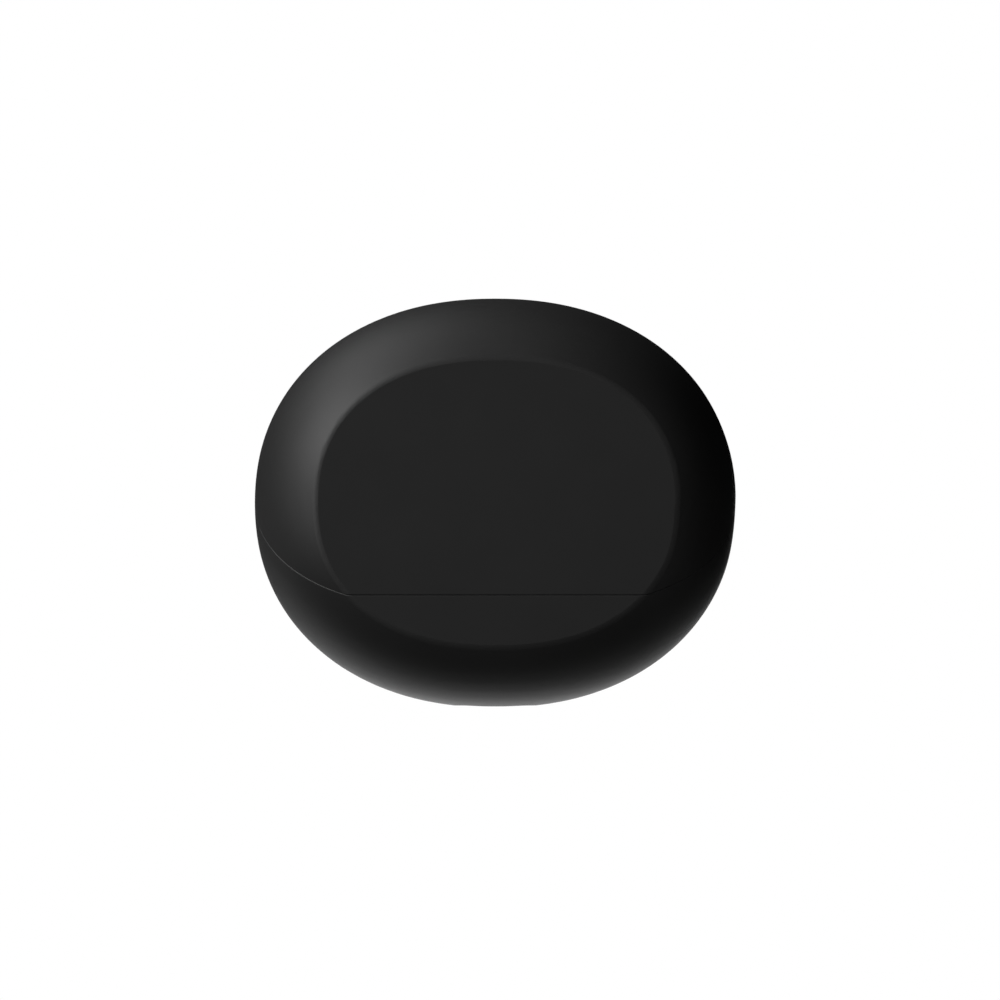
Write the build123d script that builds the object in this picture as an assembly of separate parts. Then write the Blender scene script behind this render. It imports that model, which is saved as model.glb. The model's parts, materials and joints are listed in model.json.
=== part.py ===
from build123d import *
from math import asin, atan2, cos, pi, sin
import os

# Wireless earbuds case: an oval pebble with two flat faces, parted by a slanting seam into a base
# and a hinged lid.  Millimetres.  The case lies on its back face: X across, Y up the front face,
# Z out of the front face, and the origin at the middle of the back face.

# Outer body
WIDTH = 60.0
HEIGHT = 51.04
THICKNESS = 28.0
OUTLINE_POWER = 2.16        # superellipse exponent of the outline at mid-depth
FLAT_POWER = 2.25           # and of the flat faces' edge
RIM_INSET = 7.5             # from the outline in to the flat faces' edge
EDGE_RADIUS = 1.2           # rounding between rim and flat face
WALL = 1.4
FIT = 0.06                  # gap round a moulding that is set into a shell

# Seam, as a plane through the middle of the body
SEAM_DROP = 11.5            # how far below mid-height the seam crosses the front face
SEAM_GAP = 0.05
LID_LIP_RADIUS = 0.05       # rounding of the shells' edges along the seam
BASE_LIP_RADIUS = 0.12
LEDGE_WIDTH = 1.0
LEDGE_DEPTH = 1.0

# Hinge, on the seam just inside the back face
HINGE_Z = 1.3
KNUCKLE_RADIUS = 2.0
KNUCKLE_CLEARANCE = 0.1
BASE_KNUCKLE_HALF = 9.0
BEAD_HALF = 26.0
PIN_RADIUS = 0.6
PIN_RUNNING = 0.05          # radial clearance of the pin in the lid
PIN_HALF = 14.0

# Earbud tray and lid liner: a plate beside the seam with two recesses
PLATE_TOP = 0.5             # from the seam plane to the plate's face
PLATE = 1.2
POCKET_X = 13.2
POCKET_V = -0.5
POCKET_LONG = 18.0
POCKET_WIDE = 16.0
POCKET_CORNER = 7.2
POCKET_FLOOR_ROUND = 2.0
POCKET_RIM_ROUND = 0.3
POCKET_DEPTH = 6.4
POCKET_WALL = 1.0
LID_RECESS_DEPTH = 7.5
TIP_WELL_X = 8.8
TIP_WELL_V = -0.5
TIP_WELL_RADIUS = 4.4
TIP_WELL_DEPTH = 7.1

# Charging pins
PIN_PAD_X = 16.0
PIN_PAD_V = 2.6
BARREL_RADIUS = 0.7
BARREL_TOP = -6.3
BARREL_BOTTOM = -8.2
BARREL_BORE = 0.45
BARREL_LIP = 0.2
BARREL_MOUTH = 0.34
PLUNGER_RADIUS = 0.3
PLUNGER_COLLAR = 0.42
PLUNGER_TOP = -5.5
PLUNGER_FOOT = -7.2

# Pairing button and lamp between the pockets
BUTTON_V = 4.5
BUTTON_RADIUS = 2.1
BUTTON_FLANGE = 2.6
BUTTON_HOLE = 2.2
LAMP_V = -3.0
LAMP_RADIUS = 0.9
SENSOR_V = -6.5
INDICATOR_TOP = -5.0
INDICATOR_THICK = 0.6
SWITCH_SIZE = 3.6
SWITCH_HIGH = 1.3
NUB_RADIUS = 0.75
NUB_PROUD = 0.3             # of the switch's body

# Magnets
LATCH_X = 6.0
LATCH_V = -10.9
LATCH_SIZE = (7.0, 2.2, 1.7)
BUD_MAGNET_X = 18.8
BUD_MAGNET_V = 4.6
BUD_MAGNET_RADIUS = 1.5
BUD_MAGNET_THICK = 0.7
BUMPER_X = 15.0
BUMPER_V = -11.2
BUMPER_RADIUS = 1.2

# Battery and boards
FLEX_THICK = 0.12
PAD_TOP = -8.4
PAD_THICK = 0.45
BATTERY_TOP = -8.9
BATTERY_THICK = 5.0
BATTERY_V = (-10.5, 4.5)
BATTERY_X = (-17.0, 15.4)
BOARD_TOP = -15.0
BOARD_THICK = 0.8
BOARD_V = (-8.5, 2.5)
BOARD_HALF = 15.0
BOSS_X = 12.5
BOSS_V = -3.0
BOSS_RADIUS = 1.6
SCREW_RADIUS = 0.6
SCREW_HEAD = 1.2
SCREW_HEAD_THICK = 0.7
SCREW_LENGTH = 3.2
LEAD_RADIUS = 0.35
LEAD_X = 17.4

# USB port at the bottom of the base, at mid-depth
PORT_LONG = 9.5
PORT_WIDE = 3.8
PORT_MOUTH_ROUND = 0.3
SOCKET_LONG = 8.94
SOCKET_WIDE = 3.16
SOCKET_WALL = 0.3
SOCKET_MOUTH = -24.9
SOCKET_END = -18.6
TONGUE = (6.7, 4.4, 0.7)
USB_BOARD_THICK = 0.8
USB_BOARD_Y = (-22.6, -18.4)
USB_BOARD_HALF = 6.5

MID = THICKNESS / 2
RIM_RADIUS = (MID**2 + RIM_INSET**2) / (2 * RIM_INSET)
SEAM_TILT = atan2(SEAM_DROP, MID)
# Seam frame: x across, v towards the hinge, n into the lid.
SEAM = Plane(origin=(0, 0, MID), x_dir=(1, 0, 0), z_dir=(0, cos(SEAM_TILT), sin(SEAM_TILT)))
HINGE_Y = (MID - HINGE_Z) * SEAM_DROP / MID
BIG = 120.0
LOW = (Align.CENTER, Align.CENTER, Align.MIN)
HIGH = (Align.CENTER, Align.CENTER, Align.MAX)


# ---- Pebble ----

def oval_ring(inset, height):
    """Superellipse wire of the outline shrunk by inset."""
    count = 24
    long_half = WIDTH / 2 - inset
    short_half = HEIGHT / 2 - inset
    power = OUTLINE_POWER + (FLAT_POWER - OUTLINE_POWER) * inset / RIM_INSET
    points = []
    for step in range(count):
        angle = 2 * pi * step / count
        reach = abs(cos(angle) / long_half) ** power + abs(sin(angle) / short_half) ** power
        reach = reach ** (-1 / power)
        points.append(Vector(reach * cos(angle), reach * sin(angle), MID + height))
    spacing = [step / count for step in range(count + 1)]
    return Wire([Edge.make_spline(points, periodic=True, parameters=spacing)])


def pebble(offset):
    """The whole body's shape, shrunk by offset: a rim of circular section, rounded into the flats."""
    steps, least_round = 8, 0.6
    radius = RIM_RADIUS - offset
    turn = asin((MID - offset) / radius)
    rings = []
    for step in range(-steps, steps + 1):
        angle = turn * step / steps
        rings.append(oval_ring(RIM_RADIUS - radius * cos(angle), radius * sin(angle)))
    body = Solid.make_loft(rings)
    levels = body.edges().group_by(Axis.Z)
    return fillet(levels[0] + levels[-1], max(EDGE_RADIUS - offset, least_round))


def slab(low, high):
    """All space between two planes parallel to the seam."""
    return SEAM.offset(low) * Box(BIG, BIG, high - low, align=LOW)


def place(x, v, n, shape):
    return SEAM * Pos(x, v, n) * shape


def disc(x, v, low, high, radius):
    """Cylinder square to the seam plane."""
    return place(x, v, low, Cylinder(radius, high - low, align=LOW))


def block(x_span, v_span, n_span):
    """Box square to the seam plane."""
    size = [span[1] - span[0] for span in (x_span, v_span, n_span)]
    middle = [(span[0] + span[1]) / 2 for span in (x_span, v_span, n_span)]
    return place(*middle, Box(*size))


def along_hinge(radius, start, end):
    """Cylinder on the hinge axis from x = start to x = end."""
    return Pos((start + end) / 2, HINGE_Y, HINGE_Z) * Rot(0, 90, 0) * Cylinder(radius, end - start)


def level_edges(shape, height):
    """Edges that lie at one height over the seam plane, each with its middle in the seam frame."""
    tiny = 0.001
    found = []
    for edge in shape.edges():
        start, middle, end = [SEAM.to_local_coords(edge.position_at(at)) for at in (0, 0.5, 1)]
        if max(abs(point.Z - height) for point in (start, middle, end)) < tiny:
            found.append((edge, middle))
    return found


def both_sides(make):
    return [make(side) for side in (-1, 1)]


OUTER = pebble(0)
INNER = pebble(WALL)
SET_IN = pebble(WALL + FIT)
PLATE_BACK = PLATE_TOP + PLATE


# ---- Shells and hinge ----

def hollow(room, low, high):
    """The inside of a shell, less a ledge between two heights for its moulding to sit on."""
    return (INNER & room) - (slab(low, high) - pebble(WALL + LEDGE_WIDTH))


def round_lip(shell, height, radius):
    """Rounds a shell's outer edge along the seam, up to the hinge."""
    hinge_v = (MID - HINGE_Z) / cos(SEAM_TILT)
    clear_of_hinge = hinge_v - 2 * KNUCKLE_RADIUS
    lip = [edge for edge, middle in level_edges(shell, height) if middle.Y < clear_of_hinge]
    return fillet(lip, radius)


def lid_shell():
    bead = along_hinge(KNUCKLE_RADIUS, -BEAD_HALF, BEAD_HALF)
    inside = hollow(slab(-PLATE_TOP, BIG), PLATE_BACK, PLATE_BACK + LEDGE_DEPTH) - bead
    solid_lid = OUTER & (slab(SEAM_GAP / 2, BIG) + bead)
    shell = round_lip(solid_lid, SEAM_GAP / 2, LID_LIP_RADIUS) - inside
    notch_half = BASE_KNUCKLE_HALF + KNUCKLE_CLEARANCE
    shell -= along_hinge(KNUCKLE_RADIUS + KNUCKLE_CLEARANCE, -notch_half, notch_half)
    bore_half = PIN_HALF + PIN_RUNNING
    return shell - along_hinge(PIN_RADIUS + PIN_RUNNING, -bore_half, bore_half)


def base_shell():
    groove = KNUCKLE_RADIUS + KNUCKLE_CLEARANCE
    knuckle = along_hinge(KNUCKLE_RADIUS, -BASE_KNUCKLE_HALF, BASE_KNUCKLE_HALF)
    body = slab(-BIG, -SEAM_GAP / 2)
    body -= along_hinge(groove, -BEAD_HALF, -BASE_KNUCKLE_HALF)
    body -= along_hinge(groove, BASE_KNUCKLE_HALF, BEAD_HALF)
    inside = hollow(slab(-BIG, PLATE_TOP), -PLATE_BACK - LEDGE_DEPTH, -PLATE_BACK) - knuckle
    for side in (-1, 1):
        inside -= screw_pillar(side)
    shell = round_lip(OUTER & (body + knuckle), -SEAM_GAP / 2, BASE_LIP_RADIUS) - inside
    shell -= along_hinge(PIN_RADIUS, -BASE_KNUCKLE_HALF, BASE_KNUCKLE_HALF)
    for side in (-1, 1):
        shell -= screw_hole(side)
    return round_port_mouth(shell - port_hole())


def screw_pillar(side):
    """Pillar from the main board down into the shell's wall."""
    reach = 9.0
    bottom = BOARD_TOP - BOARD_THICK
    return disc(side * BOSS_X, BOSS_V, bottom - reach, bottom, BOSS_RADIUS)


def screw_hole(side):
    return disc(side * BOSS_X, BOSS_V, BOARD_TOP - SCREW_LENGTH, BOARD_TOP, SCREW_RADIUS)


def slot_along_y(length, width, radius, start, end):
    """Rounded bar along Y, centred on the USB port."""
    profile = Plane(origin=(0, end, MID), x_dir=(1, 0, 0), z_dir=(0, -1, 0))
    return extrude(profile * RectangleRounded(length, width, radius), end - start)


def port_hole():
    edge, past_outside, past_mouth = 0.01, 1.0, 2.0
    start, end = -HEIGHT / 2 - past_outside, SOCKET_MOUTH + past_mouth
    return slot_along_y(PORT_LONG, PORT_WIDE, PORT_WIDE / 2 - edge, start, end)


def round_port_mouth(shell):
    """Rounds the edge where the port hole opens to the outside."""
    outside_y = 0.5 - HEIGHT / 2
    mouth = []
    for edge in shell.edges():
        middle = edge.center()
        in_port = abs(middle.X) < PORT_LONG and abs(middle.Z - MID) < PORT_WIDE
        if middle.Y < outside_y and in_port:
            mouth.append(edge)
    return fillet(mouth, PORT_MOUTH_ROUND)


def hinge_pin():
    return along_hinge(PIN_RADIUS, -PIN_HALF, PIN_HALF)


# ---- Tray and liner ----

def recess(side, depth, grow, way):
    """Rounded oval recess; way is -1 into the base and 1 into the lid."""
    outline = RectangleRounded(POCKET_LONG + 2 * grow, POCKET_WIDE + 2 * grow, POCKET_CORNER + grow)
    body = extrude(outline, way * (depth + grow))
    floor_edges = body.edges().group_by(Axis.Z)[0 if way < 0 else -1]
    body = fillet(floor_edges, POCKET_FLOOR_ROUND + grow)
    return place(side * POCKET_X, POCKET_V, 0, body)


def tip_well(side, grow):
    depth = TIP_WELL_DEPTH + grow
    radius = TIP_WELL_RADIUS + grow
    return disc(side * TIP_WELL_X, TIP_WELL_V, -depth, 0, radius)


def pin_places():
    return [(side * PIN_PAD_X, end * PIN_PAD_V + POCKET_V) for side in (-1, 1) for end in (-1, 1)]


def round_pocket_rims(moulding, height):
    """Rounds the edges where the pockets open into a plate's face."""
    reach = 0.01
    rims = []
    for edge, middle in level_edges(moulding, height):
        in_width = abs(middle.Y - POCKET_V) < POCKET_WIDE / 2 + reach
        in_length = abs(abs(middle.X) - POCKET_X) < POCKET_LONG / 2 + reach
        if in_width and in_length:
            rims.append(edge)
    return fillet(rims, POCKET_RIM_ROUND)


def earbud_tray():
    walls = both_sides(lambda side: recess(side, POCKET_DEPTH, POCKET_WALL, -1))
    wells = both_sides(lambda side: tip_well(side, POCKET_WALL))
    moulding = SET_IN & slab(-PLATE_BACK, -PLATE_TOP)
    below = SET_IN & slab(-BIG, -PLATE_TOP)
    for wall in walls + wells:
        moulding += wall & below
    moulding += [indicator_post(side, end) for side in (-1, 1) for end in (-1, 1)]
    for side in (-1, 1):
        moulding -= recess(side, POCKET_DEPTH, 0, -1)
        moulding -= tip_well(side, 0)
    moulding = round_pocket_rims(moulding, -PLATE_TOP)
    for x, v in pin_places():
        moulding -= disc(x, v, BARREL_BOTTOM, 0, BARREL_RADIUS)
    moulding -= disc(0, BUTTON_V, -PLATE_BACK, 0, BUTTON_HOLE)
    moulding -= disc(0, LAMP_V, -PLATE_BACK, 0, LAMP_RADIUS)
    return moulding - along_hinge(KNUCKLE_RADIUS + 3 * KNUCKLE_CLEARANCE, -BEAD_HALF, BEAD_HALF)


def indicator_post(side, end):
    """Post under the plate that carries the indicator board."""
    post_x, post_v, radius = 2.0, 7.2, 0.6
    return disc(side * post_x, end * post_v, INDICATOR_TOP, -PLATE_BACK, radius)


def lid_liner():
    above = SET_IN & slab(PLATE_TOP, BIG)
    moulding = SET_IN & slab(PLATE_TOP, PLATE_BACK)
    for side in (-1, 1):
        moulding += recess(side, LID_RECESS_DEPTH, POCKET_WALL, 1) & above
    for side in (-1, 1):
        moulding -= recess(side, LID_RECESS_DEPTH, 0, 1)
    moulding = round_pocket_rims(moulding, PLATE_TOP)
    return moulding - along_hinge(KNUCKLE_RADIUS + 3 * KNUCKLE_CLEARANCE, -BEAD_HALF, BEAD_HALF)


# ---- Charging pins ----

def charging_barrel(x, v):
    bore_low = BARREL_BOTTOM + BARREL_LIP
    bore_high = BARREL_TOP - BARREL_LIP
    tube = disc(x, v, BARREL_BOTTOM, BARREL_TOP, BARREL_RADIUS)
    tube -= disc(x, v, bore_low, bore_high, BARREL_BORE)
    return tube - disc(x, v, bore_high, BARREL_TOP, BARREL_MOUTH)


def charging_plunger(x, v):
    end_play, tip_round = 0.05, 0.8 * PLUNGER_RADIUS
    collar_top = BARREL_TOP - BARREL_LIP - end_play
    stem = Cylinder(PLUNGER_RADIUS, PLUNGER_TOP - PLUNGER_FOOT, align=LOW)
    stem = fillet(stem.edges().group_by(Axis.Z)[-1], tip_round)
    return place(x, v, PLUNGER_FOOT, stem) + disc(x, v, PLUNGER_FOOT, collar_top, PLUNGER_COLLAR)


def charging_flex():
    """Thin film under the pockets that joins the four pins."""
    half_long, half_wide = 17.4, 4.0
    v_span = (POCKET_V - half_wide, POCKET_V + half_wide)
    return block((-half_long, half_long), v_span, (BARREL_BOTTOM - FLEX_THICK, BARREL_BOTTOM))


# ---- Pairing button, lamp and sensor ----

def pairing_button():
    flange_drop, flange_thick, stem_radius, gap, cap_round = 0.06, 0.7, 0.9, 0.05, 0.3
    flange_top = -PLATE_BACK - flange_drop
    cap = Cylinder(BUTTON_RADIUS, PLATE, align=LOW)
    cap = fillet(cap.edges().group_by(Axis.Z)[-1], cap_round)
    button = place(0, BUTTON_V, -PLATE_BACK, cap)
    button += disc(0, BUTTON_V, flange_top, -PLATE_BACK, BUTTON_RADIUS)
    button += disc(0, BUTTON_V, flange_top - flange_thick, flange_top, BUTTON_FLANGE)
    nub_top = INDICATOR_TOP + SWITCH_HIGH + NUB_PROUD
    return button + disc(0, BUTTON_V, nub_top + gap, flange_top - flange_thick, stem_radius)


def tact_switch():
    half = SWITCH_SIZE / 2
    well_depth, well_gap = 0.9, 0.08
    top = INDICATOR_TOP + SWITCH_HIGH
    body = block((-half, half), (BUTTON_V - half, BUTTON_V + half), (INDICATOR_TOP, top))
    return body - disc(0, BUTTON_V, top - well_depth, top, NUB_RADIUS + well_gap)


def switch_nub():
    length = 0.8
    top = INDICATOR_TOP + SWITCH_HIGH + NUB_PROUD
    return disc(0, BUTTON_V, top - length, top, NUB_RADIUS)


def light_pipe():
    """Clear rod from the lamp up to the tray's face."""
    collar_radius, collar_thick, lamp_room = 1.4, 0.6, 0.8
    foot = INDICATOR_TOP + lamp_room
    rod = disc(0, LAMP_V, foot, -PLATE_TOP, LAMP_RADIUS)
    return rod + disc(0, LAMP_V, -PLATE_BACK - collar_thick, -PLATE_BACK, collar_radius)


def status_lamp():
    half_long, half_wide, high = 0.8, 0.4, 0.6
    span = (LAMP_V - half_wide, LAMP_V + half_wide)
    return block((-half_long, half_long), span, (INDICATOR_TOP, INDICATOR_TOP + high))


def lid_sensor():
    half, high = 0.8, 0.7
    return block((-half, half), (SENSOR_V - half, SENSOR_V + half), (INDICATOR_TOP, INDICATOR_TOP + high))


def indicator_board():
    half_wide, half_long = 2.8, 8.2
    bottom = INDICATOR_TOP - INDICATOR_THICK
    return block((-half_wide, half_wide), (-half_long, half_long), (bottom, INDICATOR_TOP))


# ---- Magnets and bumpers ----

def latch_magnet(side, low):
    long, wide, thick = LATCH_SIZE
    x_span = (side * LATCH_X - long / 2, side * LATCH_X + long / 2)
    return block(x_span, (LATCH_V - wide / 2, LATCH_V + wide / 2), (low, low + thick))


def earbud_magnet(side, end):
    top = -POCKET_DEPTH - POCKET_WALL
    place_x, place_v = side * BUD_MAGNET_X, end * BUD_MAGNET_V + POCKET_V
    return disc(place_x, place_v, top - BUD_MAGNET_THICK, top, BUD_MAGNET_RADIUS)


def lid_sensor_magnet():
    radius, thick = 1.2, 1.2
    return disc(0, SENSOR_V, PLATE_BACK, PLATE_BACK + thick, radius)


def lid_bumper(side):
    """Soft dot on the liner that lands on the tray."""
    air, tip_round = 0.15, 0.4
    tip = -PLATE_TOP + air
    dot = Cylinder(BUMPER_RADIUS, PLATE_TOP - tip, align=LOW)
    dot = fillet(dot.edges().group_by(Axis.Z)[0], tip_round)
    return place(side * BUMPER_X, BUMPER_V, tip, dot)


# ---- Battery ----

def battery_cell():
    edge = 1.2
    bottom = BATTERY_TOP - BATTERY_THICK
    middle_x, middle_v = sum(BATTERY_X) / 2, sum(BATTERY_V) / 2
    long, wide = BATTERY_X[1] - BATTERY_X[0], BATTERY_V[1] - BATTERY_V[0]
    cell = Box(long, wide, BATTERY_THICK, align=LOW)
    cell = fillet(cell.edges().filter_by(Axis.X), edge)
    return place(middle_x, middle_v, bottom, cell)


def battery_pad():
    margin = 1.0
    v_span = (BATTERY_V[0] + margin, BATTERY_V[1] - margin)
    return block((-BOARD_HALF, BOARD_HALF), v_span, (PAD_TOP - PAD_THICK, PAD_TOP))


def battery_board():
    """Protection board on the end of the cell."""
    gap, thick, inset = 0.1, 0.8, 0.8
    x_span = (BATTERY_X[1] + gap, BATTERY_X[1] + gap + thick)
    v_span = (BATTERY_V[0] + inset, BATTERY_V[1] - inset)
    n_span = (BATTERY_TOP - BATTERY_THICK + inset, BATTERY_TOP - inset)
    return block(x_span, v_span, n_span)


def battery_lead(v):
    """Wire from the protection board over the edge of the main board."""
    corner_radius, board_reach, overlap = 0.9, 0.9, 1.5
    start_x = BATTERY_X[1] + board_reach
    rise = BATTERY_TOP - BATTERY_THICK / 2
    drop = BOARD_TOP + LEAD_RADIUS
    route = FilletPolyline(
        (start_x, v, rise),
        (LEAD_X, v, rise),
        (LEAD_X, v, drop),
        (BOARD_HALF - overlap, v, drop),
        radius=corner_radius,
    )
    end = Plane(origin=(start_x, v, rise), z_dir=(1, 0, 0))
    return SEAM * sweep(end * Circle(LEAD_RADIUS), path=route)


# ---- Main board ----

def main_board():
    corner, screw_gap = 2.0, 0.1
    span_v = BOARD_V[1] - BOARD_V[0]
    outline = RectangleRounded(2 * BOARD_HALF, span_v, corner)
    board = place(0, sum(BOARD_V) / 2, BOARD_TOP, extrude(outline, -BOARD_THICK))
    for side in (-1, 1):
        hole_radius = SCREW_RADIUS + screw_gap
        board -= disc(side * BOSS_X, BOSS_V, BOARD_TOP - BOARD_THICK, BOARD_TOP, hole_radius)
    return board


def board_screw(side):
    x = side * BOSS_X
    drive_radius, drive_depth = 0.45, 0.4
    head_top = BOARD_TOP + SCREW_HEAD_THICK
    screw = disc(x, BOSS_V, BOARD_TOP, head_top, SCREW_HEAD)
    screw += disc(x, BOSS_V, BOARD_TOP - SCREW_LENGTH, BOARD_TOP, SCREW_RADIUS)
    drive = extrude(RegularPolygon(drive_radius, 6), -drive_depth)
    return screw - place(x, BOSS_V, head_top, drive)


def chip(x, v, long, wide, high):
    """Component on the underside of the main board."""
    top = BOARD_TOP - BOARD_THICK
    return block((x - long / 2, x + long / 2), (v - wide / 2, v + wide / 2), (top - high, top))


def board_capacitors():
    row_start, pitch, count, row_v = -9.0, 1.8, 8, 0.8
    return [chip(row_start + pitch * step, row_v, 0.6, 1.0, 0.5) for step in range(count)]


# ---- USB port ----

def usb_socket_shell():
    corner = 1.3
    outside = slot_along_y(SOCKET_LONG, SOCKET_WIDE, corner, SOCKET_MOUTH, SOCKET_END)
    long, wide = SOCKET_LONG - 2 * SOCKET_WALL, SOCKET_WIDE - 2 * SOCKET_WALL
    return outside - slot_along_y(long, wide, corner - SOCKET_WALL, SOCKET_MOUTH, SOCKET_END)


def usb_tongue():
    """Insulating block at the back of the socket with its thin tongue."""
    gap, corner, block_long = 0.02, 1.0, 1.5
    long = SOCKET_LONG - 2 * SOCKET_WALL - gap
    wide = SOCKET_WIDE - 2 * SOCKET_WALL - gap
    back = slot_along_y(long, wide, corner - gap, SOCKET_END - block_long, SOCKET_END)
    middle_y = SOCKET_END - block_long - TONGUE[1] / 2
    return back + Pos(0, middle_y, MID) * Box(*TONGUE)


def usb_contacts():
    """Twelve gold strips on each face of the tongue."""
    pitch, wide, thick, long, count, setback = 0.5, 0.26, 0.06, 3.4, 12, 1.6
    middle_y = SOCKET_END - setback - long / 2
    strips = []
    for face in (-1, 1):
        for step in range(count):
            x = (step - (count - 1) / 2) * pitch
            z = MID + face * (TONGUE[2] / 2 + thick / 2)
            strips.append(Pos(x, middle_y, z) * Box(wide, long, thick))
    return strips


def port_gasket():
    """Soft ring between the socket and the inside of the wall."""
    edge, thick, front = 0.9, 1.0, -23.7
    corner = 1.3
    long, wide = SOCKET_LONG + 2 * edge, SOCKET_WIDE + 2 * edge
    outside = slot_along_y(long, wide, corner + edge, front, front + thick)
    return outside - slot_along_y(SOCKET_LONG, SOCKET_WIDE, corner, front, front + thick)


def usb_board():
    top = MID - SOCKET_WIDE / 2
    outline = Box(2 * USB_BOARD_HALF, USB_BOARD_Y[1] - USB_BOARD_Y[0], USB_BOARD_THICK, align=HIGH)
    return Pos(0, sum(USB_BOARD_Y) / 2, top) * outline


def board_link():
    """Flat flex from the underside of the main board to the underside of the USB board."""
    half_wide, thick, gap = 3.0, 0.1, 0.06
    under_main = BOARD_TOP - BOARD_THICK - gap
    under_usb = MID - SOCKET_WIDE / 2 - USB_BOARD_THICK - gap
    start_v, length = BOARD_V[0] + 1.6, 2.2
    slope = (sin(SEAM_TILT), -cos(SEAM_TILT))
    start = (
        start_v * slope[0] + under_main * cos(SEAM_TILT),
        MID + start_v * slope[1] + under_main * sin(SEAM_TILT),
    )
    run = (under_usb - start[1]) / slope[1]
    knee = (start[0] + run * slope[0], under_usb)
    route = Polyline(start, knee, (knee[0] - length, under_usb))
    return extrude(Plane.YZ * trace(route, thick), half_wide, both=True)


# ---- All parts ----

def plungers():
    names = ("left_front", "left_rear", "right_front", "right_rear")
    spots = zip(names, pin_places())
    return {f"charging_pin_{name}": charging_plunger(x, v) for name, (x, v) in spots}


def all_parts():
    base_latch_low = -PLATE_BACK - LATCH_SIZE[2]
    parts = {
        "lid_shell": lid_shell(),
        "lid_liner": lid_liner(),
        "lid_latch_magnets": both_sides(lambda side: latch_magnet(side, PLATE_BACK)),
        "lid_sensor_magnet": lid_sensor_magnet(),
        "lid_bumpers": both_sides(lid_bumper),
        "base_shell": base_shell(),
        "earbud_tray": earbud_tray(),
        "hinge_pin": hinge_pin(),
        "base_latch_magnets": both_sides(lambda side: latch_magnet(side, base_latch_low)),
        "earbud_magnets": [earbud_magnet(side, end) for side in (-1, 1) for end in (-1, 1)],
        "charging_pin_barrels": [charging_barrel(x, v) for x, v in pin_places()],
        "charging_flex": charging_flex(),
        "pairing_button": pairing_button(),
        "switch_nub": switch_nub(),
        "tact_switch": tact_switch(),
        "light_pipe": light_pipe(),
        "status_lamp": status_lamp(),
        "lid_sensor": lid_sensor(),
        "indicator_board": indicator_board(),
        "battery_pad": battery_pad(),
        "battery_cell": battery_cell(),
        "battery_board": battery_board(),
        "battery_lead_red": battery_lead(-6.0),
        "battery_lead_black": battery_lead(-4.0),
        "main_board": main_board(),
        "board_screws": both_sides(board_screw),
        "processor_chip": chip(-5.5, -3.0, 5.0, 5.0, 0.8),
        "charger_chip": chip(1.5, -3.4, 3.0, 3.0, 0.7),
        "power_inductor": chip(7.0, -3.0, 3.0, 3.0, 1.2),
        "board_capacitors": board_capacitors(),
        "usb_board": usb_board(),
        "usb_socket_shell": usb_socket_shell(),
        "usb_tongue": usb_tongue(),
        "usb_contacts": usb_contacts(),
        "port_gasket": port_gasket(),
        "board_link": board_link(),
    }
    parts.update(plungers())
    return parts


def write_parts():
    os.makedirs("parts", exist_ok=True)
    for name, shape in all_parts().items():
        pieces = shape if isinstance(shape, list) else [shape]
        solids = [solid for piece in pieces for solid in piece.solids()]
        export_step(Compound(children=solids), f"parts/{name}.step")


write_parts()
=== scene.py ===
"""Looks of the wireless earbuds case: materials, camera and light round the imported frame.  Metres."""
import json
from math import cos, radians, sin

import bpy
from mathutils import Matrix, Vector


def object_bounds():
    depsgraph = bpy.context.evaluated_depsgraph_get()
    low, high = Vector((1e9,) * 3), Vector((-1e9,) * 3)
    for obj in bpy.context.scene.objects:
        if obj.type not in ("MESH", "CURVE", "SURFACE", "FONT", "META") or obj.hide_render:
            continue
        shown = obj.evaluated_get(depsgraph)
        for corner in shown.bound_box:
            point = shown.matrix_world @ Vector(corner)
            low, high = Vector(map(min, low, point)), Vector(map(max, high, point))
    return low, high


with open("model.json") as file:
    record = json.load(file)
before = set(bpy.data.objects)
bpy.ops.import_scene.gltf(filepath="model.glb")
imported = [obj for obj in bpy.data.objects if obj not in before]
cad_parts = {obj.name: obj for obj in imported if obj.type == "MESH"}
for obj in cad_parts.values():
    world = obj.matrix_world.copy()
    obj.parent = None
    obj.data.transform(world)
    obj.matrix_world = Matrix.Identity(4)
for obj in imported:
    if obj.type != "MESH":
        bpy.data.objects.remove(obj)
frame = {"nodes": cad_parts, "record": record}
cad_low, cad_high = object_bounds()

MM = 0.001
SHELL_MID_Z = (cad_low.z + cad_high.z) / 2

# Detail that every material shares; scales are in features per millimetre
BLOTCH_SCALE = 0.12
WEAR_SCALE = 0.8
BUMP_STRENGTH = 0.3
SMOOTH_LIKENESS = 0.99      # of the rounded normal to the real one, away from any edge
EDGE_LIKENESS = 0.85        # and on an edge


# ---- Node helpers ----

def new_material(name):
    """An empty node material: itself, its tree and its Principled shader."""
    material = bpy.data.materials.new(name)
    material.use_nodes = True
    tree = material.node_tree
    return material, tree, tree.nodes["Principled BSDF"]


def noise(tree, scale, detail=2.0):
    """Noise in the object's own coordinates; scale is in features per millimetre."""
    coords = tree.nodes.new("ShaderNodeTexCoord")
    texture = tree.nodes.new("ShaderNodeTexNoise")
    texture.inputs["Scale"].default_value = scale / MM
    texture.inputs["Detail"].default_value = detail
    tree.links.new(coords.outputs["Object"], texture.inputs["Vector"])
    return texture.outputs["Fac"]


def spread(tree, source, low, high, start=0.3, end=0.7):
    """Maps source from start..end to low..high."""
    node = tree.nodes.new("ShaderNodeMapRange")
    for socket, value in zip(("From Min", "From Max", "To Min", "To Max"), (start, end, low, high)):
        node.inputs[socket].default_value = value
    tree.links.new(source, node.inputs["Value"])
    return node.outputs["Result"]


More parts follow.
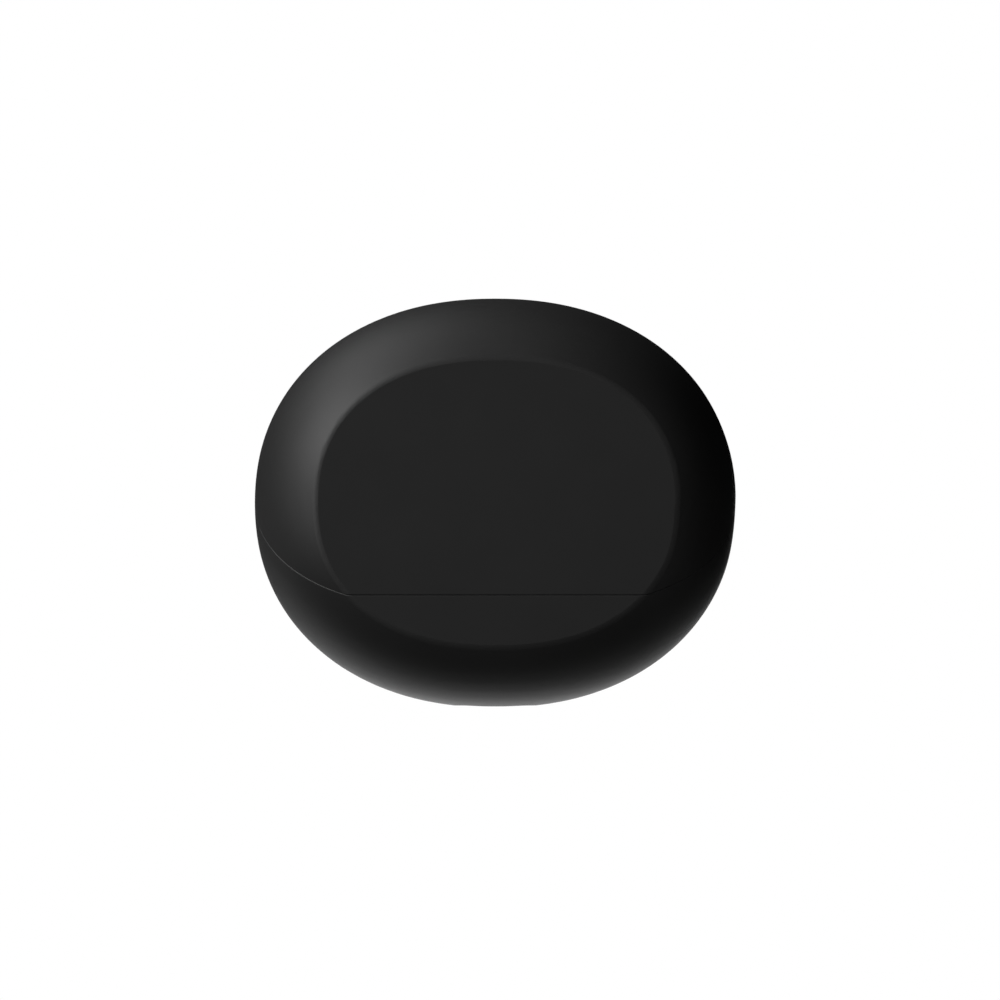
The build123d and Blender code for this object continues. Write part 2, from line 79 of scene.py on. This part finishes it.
def colour_mix(tree, factor, first, second):
    """Blend from first to second; each is a colour or a socket."""
    node = tree.nodes.new("ShaderNodeMix")
    node.data_type = "RGBA"
    tree.links.new(factor, node.inputs["Factor"])
    for socket, colour in ((node.inputs["A"], first), (node.inputs["B"], second)):
        if isinstance(colour, bpy.types.NodeSocket):
            tree.links.new(colour, socket)
        else:
            socket.default_value = (*colour, 1)
    return node.outputs["Result"]


def product(tree, first, second):
    """First socket times second."""
    node = tree.nodes.new("ShaderNodeMath")
    node.operation = "MULTIPLY"
    tree.links.new(first, node.inputs[0])
    tree.links.new(second, node.inputs[1])
    return node.outputs["Value"]


def softened_edges(tree, radius):
    """Normal rounded over edges within radius (mm) and a mask that is 1 on those edges."""
    rounding = tree.nodes.new("ShaderNodeBevel")
    rounding.samples = 6
    rounding.inputs["Radius"].default_value = radius * MM
    geometry = tree.nodes.new("ShaderNodeNewGeometry")
    likeness = tree.nodes.new("ShaderNodeVectorMath")
    likeness.operation = "DOT_PRODUCT"
    tree.links.new(rounding.outputs["Normal"], likeness.inputs[0])
    tree.links.new(geometry.outputs["Normal"], likeness.inputs[1])
    mask = spread(tree, likeness.outputs["Value"], 1, 0, EDGE_LIKENESS, SMOOTH_LIKENESS)
    return rounding.outputs["Normal"], mask


def bump(tree, shader, height, distance, normal):
    """Raises the surface by height (0 to 1) times distance, on top of normal."""
    node = tree.nodes.new("ShaderNodeBump")
    node.inputs["Strength"].default_value = BUMP_STRENGTH
    node.inputs["Distance"].default_value = distance
    tree.links.new(height, node.inputs["Height"])
    tree.links.new(normal, node.inputs["Normal"])
    tree.links.new(node.outputs["Normal"], shader.inputs["Normal"])


def grained(name, dark, light, rough, grain, depth, edge=0.08, worn=1.5, metal=0.0):
    """Moulded or metal surface: blotchy colour, fine grain, uneven gloss, and edges rubbed paler.

    Its colour wanders from dark to light and its roughness between the two in rough.  Grain is in
    features per mm, depth and edge are in mm, and worn times light is the colour of rubbed edges.
    """
    material, tree, shader = new_material(name)
    blotch = noise(tree, BLOTCH_SCALE)
    fine = noise(tree, grain)
    scuffs = spread(tree, noise(tree, WEAR_SCALE, detail=3.0), 0, 1, 0.4, 0.6)
    normal, on_edge = softened_edges(tree, edge)
    body = colour_mix(tree, spread(tree, blotch, 0, 1), dark, light)
    rubbed = [channel * worn for channel in light]
    finish = colour_mix(tree, product(tree, on_edge, scuffs), body, rubbed)
    tree.links.new(finish, shader.inputs["Base Color"])
    tree.links.new(spread(tree, fine, *rough), shader.inputs["Roughness"])
    shader.inputs["Metallic"].default_value = metal
    bump(tree, shader, fine, depth * MM, normal)
    return material


# ---- Materials, one for each of the record's material slots ----

def grey(level):
    return (level, level, level)


SLOT_MATERIALS = {
    "shell_black": grained(
        "soft_touch_black", grey(0.0042), grey(0.0058), rough=(0.58, 0.62),
        grain=7.0, depth=0.001, edge=0.05),
    "inner_black": grained(
        "satin_black", (0.009, 0.009, 0.010), (0.013, 0.013, 0.014), rough=(0.36, 0.46),
        grain=8.0, depth=0.004),
    "steel": grained(
        "turned_steel", (0.42, 0.42, 0.43), (0.58, 0.58, 0.60), rough=(0.22, 0.36),
        grain=9.0, depth=0.003, metal=1.0),
    "magnet_nickel": grained(
        "nickel", (0.58, 0.57, 0.54), (0.68, 0.67, 0.64), rough=(0.16, 0.26),
        grain=7.0, depth=0.002, metal=1.0),
    "contact_gold": grained(
        "gold_plate", (0.72, 0.46, 0.14), (0.86, 0.60, 0.24), rough=(0.18, 0.28),
        grain=9.0, depth=0.002, edge=0.03, worn=1.1, metal=1.0),
    "rubber_black": grained(
        "soft_rubber", grey(0.012), grey(0.02), rough=(0.65, 0.8),
        grain=6.0, depth=0.01, edge=0.1),
    "button_black": grained(
        "button_satin", (0.014, 0.014, 0.015), (0.02, 0.02, 0.021), rough=(0.26, 0.34),
        grain=8.0, depth=0.003, edge=0.1),
    "board_green": grained(
        "solder_mask", (0.008, 0.06, 0.03), (0.014, 0.09, 0.045), rough=(0.3, 0.42),
        grain=4.0, depth=0.004),
    "flex_amber": grained(
        "polyimide", (0.38, 0.16, 0.02), (0.52, 0.26, 0.05), rough=(0.28, 0.4),
        grain=4.0, depth=0.004, edge=0.02, worn=1.2),
    "chip_black": grained(
        "chip_package", (0.02, 0.02, 0.022), (0.035, 0.035, 0.037), rough=(0.5, 0.6),
        grain=9.0, depth=0.005),
    "battery_silver": grained(
        "pouch_foil", (0.5, 0.51, 0.53), (0.62, 0.63, 0.65), rough=(0.3, 0.45),
        grain=3.0, depth=0.008, edge=0.2, worn=1.2, metal=0.8),
    "foam_grey": grained(
        "foam", (0.05, 0.05, 0.055), (0.09, 0.09, 0.095), rough=(0.85, 0.95),
        grain=3.0, depth=0.03),
    "wire_red": grained(
        "red_silicone", (0.35, 0.012, 0.012), (0.45, 0.02, 0.02), rough=(0.45, 0.55),
        grain=6.0, depth=0.004),
    "wire_black": grained(
        "black_silicone", grey(0.012), grey(0.02), rough=(0.45, 0.55),
        grain=6.0, depth=0.004),
    "clear_plastic": grained(
        "clear_rod", (0.6, 0.62, 0.63), (0.7, 0.72, 0.73), rough=(0.12, 0.2),
        grain=6.0, depth=0.002, edge=0.05, worn=1.1),
    "lamp_white": grained(
        "lamp_body", (0.7, 0.7, 0.62), (0.8, 0.8, 0.72), rough=(0.35, 0.45),
        grain=6.0, depth=0.003, edge=0.05, worn=1.1),
    "capacitor_tan": grained(
        "ceramic", (0.3, 0.2, 0.11), (0.4, 0.28, 0.16), rough=(0.5, 0.6),
        grain=9.0, depth=0.004, edge=0.03, worn=1.2),
}


def dress_cad_nodes():
    """Gives each CAD node the material of its slot."""
    for part in frame["record"]["subparts"]:
        node = frame["nodes"][part["node"]]
        node.data.materials.clear()
        node.data.materials.append(SLOT_MATERIALS[part["material_slot"]])


# ---- Stage, light and camera ----

def white_floor():
    """Plain white floor well below the case, so that the open lid clears it."""
    half, drop = 3.0, 0.15
    corners = [(-half, -half, -drop), (half, -half, -drop), (half, half, -drop), (-half, half, -drop)]
    mesh = bpy.data.meshes.new("floor")
    mesh.from_pydata(corners, [], [(0, 1, 2, 3)])
    floor = bpy.data.objects.new("floor", mesh)
    bpy.context.scene.collection.objects.link(floor)
    material, _, shader = new_material("white_floor")
    shader.inputs["Base Color"].default_value = (0, 0, 0, 1)
    shader.inputs["Specular IOR Level"].default_value = 0
    shader.inputs["Emission Color"].default_value = (1, 1, 1, 1)
    shader.inputs["Emission Strength"].default_value = 1.0
    mesh.materials.append(material)
    floor.visible_diffuse = False
    floor.visible_glossy = False
    floor.visible_shadow = False


def white_room():
    """White world that the camera sees and that lights nothing."""
    world = bpy.data.worlds.new("white_room")
    world.use_nodes = True
    world.node_tree.nodes["Background"].inputs["Color"].default_value = (1, 1, 1, 1)
    world.cycles_visibility.diffuse = False
    world.cycles_visibility.glossy = False
    bpy.context.scene.world = world


def softbox(turn, tilt, power):
    """Square light aimed at the case.

    Turn is its compass direction in degrees from +X towards +Y, and tilt its angle from +Z.
    """
    distance, size = 0.6, 0.35
    light = bpy.data.lights.new("softbox", "AREA")
    light.shape = "SQUARE"
    light.size = size
    light.energy = power
    lamp = bpy.data.objects.new("softbox", light)
    bpy.context.scene.collection.objects.link(lamp)
    across = sin(radians(tilt))
    toward = Vector((cos(radians(turn)) * across, sin(radians(turn)) * across, cos(radians(tilt))))
    lamp.location = Vector((0, 0, SHELL_MID_Z)) + toward * distance
    lamp.rotation_mode = "QUATERNION"
    lamp.rotation_quaternion = toward.to_track_quat("Z", "Y")
    lamp.visible_camera = False


def soft_studio_light():
    """Large main light at the upper left, faint fills round the front, and low ones under the near edge."""
    main = ((150, 60, 4.37), (120, 100, 1.22))
    fill = ((30, 45, 0.22), (330, 60, 0.18), (270, 60, 0.15))
    under = ((225, 130, 0.35), (255, 145, 0.44), (270, 130, 0.24), (285, 160, 0.76), (300, 130, 0.15))
    for turn, tilt, power in main + fill + under:
        softbox(turn, tilt, power)


def long_lens_camera():
    """Almost square-on to the front face, from far enough away to look flat."""
    lens, sensor, frame_width = 600.0, 36.0, 0.1248
    look_x, look_y = 0.0006, 0.00038
    lean_x, lean_y = radians(0.18), radians(-0.715)
    data = bpy.data.cameras.new("camera")
    data.lens = lens
    data.sensor_width = sensor
    data.clip_end = 20.0
    camera = bpy.data.objects.new("camera", data)
    bpy.context.scene.collection.objects.link(camera)
    camera.rotation_euler = (lean_x, lean_y, 0)
    backward = camera.rotation_euler.to_matrix().col[2]
    camera.location = Vector((look_x, look_y, SHELL_MID_Z)) + backward * frame_width * lens / sensor
    bpy.context.scene.camera = camera


dress_cad_nodes()
white_floor()
white_room()
soft_studio_light()
long_lens_camera()
bpy.context.scene.view_settings.view_transform = "Standard"
